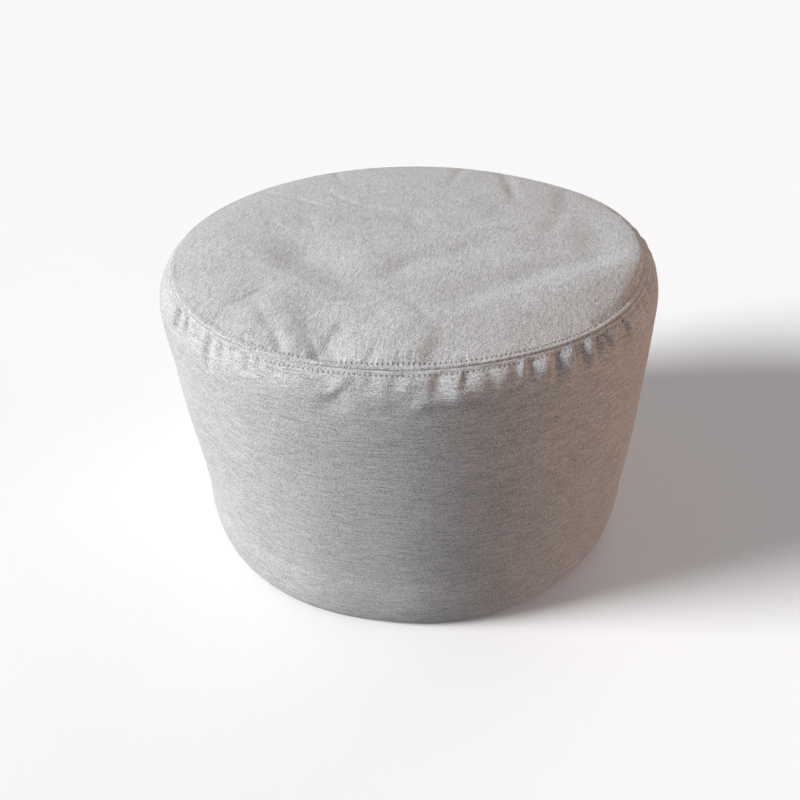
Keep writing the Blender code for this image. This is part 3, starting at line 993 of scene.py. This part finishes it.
def stitch_tree(material):
    tree = bpy.data.node_groups.new("stitches", "GeometryNodeTree")
    tree.interface.new_socket("Path", in_out="INPUT", socket_type="NodeSocketGeometry")
    for title, value in STITCH_SIZES.items():
        socket = tree.interface.new_socket(title, in_out="INPUT", socket_type="NodeSocketFloat")
        socket.default_value = value
    tree.interface.new_socket("Stitches", in_out="OUTPUT", socket_type="NodeSocketGeometry")
    given = tree.nodes.new("NodeGroupInput")
    result = tree.nodes.new("NodeGroupOutput")
    wire = Wire(tree, given.outputs["Path"])
    length, thick, slant = (Wire(tree, given.outputs[title]) for title in STITCH_SIZES)
    curve = wire.node("GeometryNodeMeshToCurve", {}, Mesh=wire)
    tangent = wire.node("GeometryNodeInputTangent", {})
    vector = {"data_type": "FLOAT_VECTOR"}
    outward = wire.node("GeometryNodeInputNamedAttribute", vector, Name="outward")
    flat = wire.node("FunctionNodeAlignRotationToVector", {"axis": "Z"}, Vector=outward)
    along = wire.node(
        "FunctionNodeAlignRotationToVector", {"axis": "X", "pivot_axis": "Z"},
        Rotation=flat, Vector=tangent,
    )
    lean = wire.node("ShaderNodeCombineXYZ", {}, Z=slant)
    lean = wire.node("FunctionNodeEulerToRotation", {}, Euler=lean)
    local = {"rotation_space": "LOCAL"}
    turned = wire.node("FunctionNodeRotateRotation", local, Rotation=along, Rotate_By=lean)
    uneven = wire.node(
        "FunctionNodeRandomValue", {"data_type": "FLOAT"}, output=1, Min=0.86, Max=1.08, Seed=4
    )
    size = wire.node("ShaderNodeCombineXYZ", {}, X=length * uneven, Y=thick, Z=thick)
    bead = wire.node("GeometryNodeMeshUVSphere", {}, Segments=8, Rings=6, Radius=0.5)
    rows = wire.node(
        "GeometryNodeInstanceOnPoints", {}, Points=curve, Instance=bead, Rotation=turned, Scale=size
    )
    real = wire.node("GeometryNodeRealizeInstances", {}, Geometry=rows)
    smooth = wire.node("GeometryNodeSetShadeSmooth", {}, Geometry=real)
    done = wire.node("GeometryNodeSetMaterial", {}, Geometry=smooth, Material=material)
    tree.links.new(done.socket, result.inputs[0])
    return tree


def plain_finish(name, color, roughness, specular=0.5):
    """A material of one colour."""
    material = bpy.data.materials.new(name)
    material.use_nodes = True
    shader = material.node_tree.nodes["Principled BSDF"]
    shader.inputs["Base Color"].default_value = color
    shader.inputs["Roughness"].default_value = roughness
    shader.inputs["Specular IOR Level"].default_value = specular
    return material


THREAD_GREY = (0.50, 0.50, 0.50, 1.0)
thread = plain_finish("thread", THREAD_GREY, roughness=0.7, specular=0.3)
stitches = stitch_tree(thread)
print("stitch tree with", len(stitches.nodes), "nodes")

# %% [markdown]
# ## Sewing the rows
# A path comes from the same surface functions as the cloth, so the thread follows every pucker.
# The modifier could stay on it, but a plain mesh is the same in every program. So its result is
# copied into a new mesh, and the path is deleted.

# %% Sew the three rows
THREAD_SINK = 0.08 * MM


def path_mesh(name, points, outward, closed):
    """A line of points, each with the direction that stands off the cloth there."""
    count = len(points)
    edges = [(number, (number + 1) % count) for number in range(count if closed else count - 1)]
    mesh = bpy.data.meshes.new(name)
    mesh.from_pydata(points.tolist(), edges, [])
    layer = mesh.attributes.new("outward", "FLOAT_VECTOR", "POINT")
    layer.data.foreach_set("vector", outward.astype(np.float32).ravel())
    return add_object(name, mesh)


def off_surface(surface, angle, away):
    """Points of a surface and the unit normals that point away from the filling."""
    step, turn = 0.4 * MM, 0.1
    point = surface(angle, away)
    around = surface(angle + turn, away) - surface(angle - turn, away)
    down = surface(angle, away + step) - surface(angle, away - step)
    normal = np.cross(around, down)
    normal /= np.linalg.norm(normal, axis=-1, keepdims=True)
    middle = np.array([0.0, 0.0, WIDEST_HEIGHT / 2])
    normal *= np.sign(np.sum(normal * (point - middle), axis=-1, keepdims=True))
    return point, normal


def sew(name, surface, angle, away, closed):
    """Set a stitch at each angle and distance from the seam."""
    point, normal = off_surface(surface, angle, away)
    path = path_mesh(name + "_path", point - normal * THREAD_SINK, normal, closed)
    modifier = path.modifiers.new("stitches", "NODES")
    modifier.node_group = stitches
    evaluated = path.evaluated_get(bpy.context.evaluated_depsgraph_get())
    mesh = bpy.data.meshes.new_from_object(evaluated)
    mesh.name = name
    bpy.data.objects.remove(path)
    print(name, "has", len(angle), "stitches")
    return add_object(name, mesh)


between = BACK_SEAM + 360 * (np.arange(STITCHES) + 0.5) / STITCHES
closing_count = int((WALL_END - BAND_ROW) / STITCH_PITCH)
closing_down = BAND_ROW + STITCH_PITCH * (np.arange(closing_count) + 0.5)
closing_angle = np.full(closing_count, BACK_SEAM + math.degrees(CLOSING_ROW / SEAM_RADIUS))
panel_away = np.full(STITCHES, PANEL_ROW)
band_away = np.full(STITCHES, BAND_ROW)
panel_stitches = sew("panel_stitches", panel_surface, between, panel_away, closed=True)
band_stitches = sew("band_stitches", band_surface, between, band_away, closed=True)
closing_stitches = sew("closing_stitches", band_surface, closing_angle, closing_down, closed=False)

# %% [markdown]
# ## The camera
# The camera looks down at the front at 33 degrees, like someone who stands a metre away. What it
# looks at, its distance and its angles are easier to adjust than a place and a rotation, so the
# matrix is worked out from them. The roll tips the picture slightly.

# %% Camera
CAMERA_TARGET = Vector((-12.1, 0.0, 126.8)) * MM
CAMERA_DISTANCE = 1133.8 * MM
CAMERA_PITCH = math.radians(32.97)
CAMERA_ROLL = math.radians(1.287)
CAMERA_LENS = 45.0
SENSOR_WIDTH = 36.0


def place_camera():
    data = bpy.data.cameras.new("camera")
    data.lens = CAMERA_LENS
    data.sensor_width = SENSOR_WIDTH
    camera = add_object("camera", data)
    back = Vector((0, -math.cos(CAMERA_PITCH), math.sin(CAMERA_PITCH)))
    level_up = Vector((0, math.sin(CAMERA_PITCH), math.cos(CAMERA_PITCH)))
    level_right = Vector((1, 0, 0))
    right = math.cos(CAMERA_ROLL) * level_right - math.sin(CAMERA_ROLL) * level_up
    up = math.sin(CAMERA_ROLL) * level_right + math.cos(CAMERA_ROLL) * level_up
    place = CAMERA_TARGET + back * CAMERA_DISTANCE
    camera.matrix_world = Matrix.Translation(place) @ Matrix((right, up, back)).transposed().to_4x4()
    bpy.context.scene.camera = camera
    return camera


camera = place_camera()
print("camera at", [round(value, 3) for value in camera.matrix_world.translation])

# %% [markdown]
# ## Floor and backdrop
# Studios use a pale sheet that curves up behind the product. It only helps views from the front,
# so here a pale floor lies inside a large pale ball. Only the camera sees the ball, so it sends
# no light onto the cloth. The floor is hidden from diffuse rays, so the shaded heel stays dark.

# %% Floor and backdrop
FLOOR_SIZE = 8.0
FLOOR_HEIGHT = -0.5 * MM
FLOOR_GREY = (0.92, 0.92, 0.92, 1.0)
BACKDROP_RADIUS = 3.9
BACKDROP_GREY = (0.87, 0.87, 0.88, 1.0)
BLACK = (0.0, 0.0, 0.0, 1.0)


def lay_floor():
    half = FLOOR_SIZE / 2
    plan = ((-half, -half), (half, -half), (half, half), (-half, half))
    mesh = bpy.data.meshes.new("floor")
    mesh.from_pydata([(x, y, FLOOR_HEIGHT) for x, y in plan], [], [(0, 1, 2, 3)])
    mesh.materials.append(plain_finish("pale_floor", FLOOR_GREY, roughness=0.9))
    floor = add_object("floor", mesh)
    floor.visible_diffuse = False


def hang_backdrop():
    mesh = bpy.data.meshes.new("backdrop")
    shell = bmesh.new()
    bmesh.ops.create_uvsphere(shell, u_segments=64, v_segments=32, radius=BACKDROP_RADIUS)
    shell.to_mesh(mesh)
    shell.free()
    mesh.shade_smooth()
    material = plain_finish("pale_backdrop", BLACK, roughness=1.0, specular=0.0)
    shader = material.node_tree.nodes["Principled BSDF"]
    shader.inputs["Emission Color"].default_value = BACKDROP_GREY
    shader.inputs["Emission Strength"].default_value = 1.0
    mesh.materials.append(material)
    backdrop = add_object("backdrop", mesh)
    for flag in ("visible_diffuse", "visible_glossy", "visible_transmission", "visible_shadow"):
        setattr(backdrop, flag, False)


lay_floor()
hang_backdrop()
print("floor of %.0f m in a ball of radius %.1f m" % (FLOOR_SIZE, BACKDROP_RADIUS))

# %% [markdown]
# ## Light
# Folds show by light that comes low from one side. A large soft light from the left does most of
# it, a weak one shapes the back, and a dim warm one on the right stands for a warm wall. Area
# lamps would fall off across the stool. Sun lamps light all of it alike, and their angle softens
# the shadows. A cool glow from all around fills in the rest.

# %% Lights
Lamp = namedtuple("Lamp", "name azimuth height softness strength color")
LAMPS = [
    Lamp("window_light", -170, 25.4, 22, 5.1, (1.0, 1.0, 1.0)),
    Lamp("back_window", 60, 30, 40, 0.35, (1.0, 1.0, 1.0)),
    Lamp("warm_wall", -4, 0, 36, 1.95, (1.0, 0.48, 0.2)),
]
LAMP_DISTANCE = 2
GLOW_COLOR = (0.90, 0.93, 1.0, 1.0)
GLOW_STRENGTH = 0.27


def hang_lamp(lamp):
    """A far soft light at an angle around the stool and a height angle."""
    data = bpy.data.lights.new(lamp.name, "SUN")
    data.energy = lamp.strength
    data.angle = math.radians(lamp.softness)
    data.color = lamp.color
    item = add_object(lamp.name, data)
    turn, lift = math.radians(lamp.azimuth), math.radians(lamp.height)
    away = Vector((math.cos(turn) * math.cos(lift), math.sin(turn) * math.cos(lift), math.sin(lift)))
    item.location = away * LAMP_DISTANCE
    item.rotation_euler = away.to_track_quat("Z", "Y").to_euler()


for lamp in LAMPS:
    hang_lamp(lamp)
world = bpy.data.worlds.new("studio")
world.use_nodes = True
background = world.node_tree.nodes["Background"]
background.inputs["Color"].default_value = GLOW_COLOR
background.inputs["Strength"].default_value = GLOW_STRENGTH
bpy.context.scene.world = world
bpy.context.scene.view_settings.view_transform = "Standard"
print(len(LAMPS), "lamps")

# %% [markdown]
# ## Hand over to the frame
# Every piece rides on the stool's one body, and each cloth hides the CAD node that it stands for.

for piece, node, slot in (
    (top_panel, "top_panel", "top_cloth"),
    (side_band, "side_band", "band_cloth"),
    (base_panel, "base_panel", "base_cloth"),
):
    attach(piece, "root")
    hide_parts(node)
for piece in (panel_stitches, band_stitches, closing_stitches):
    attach(piece, "root")
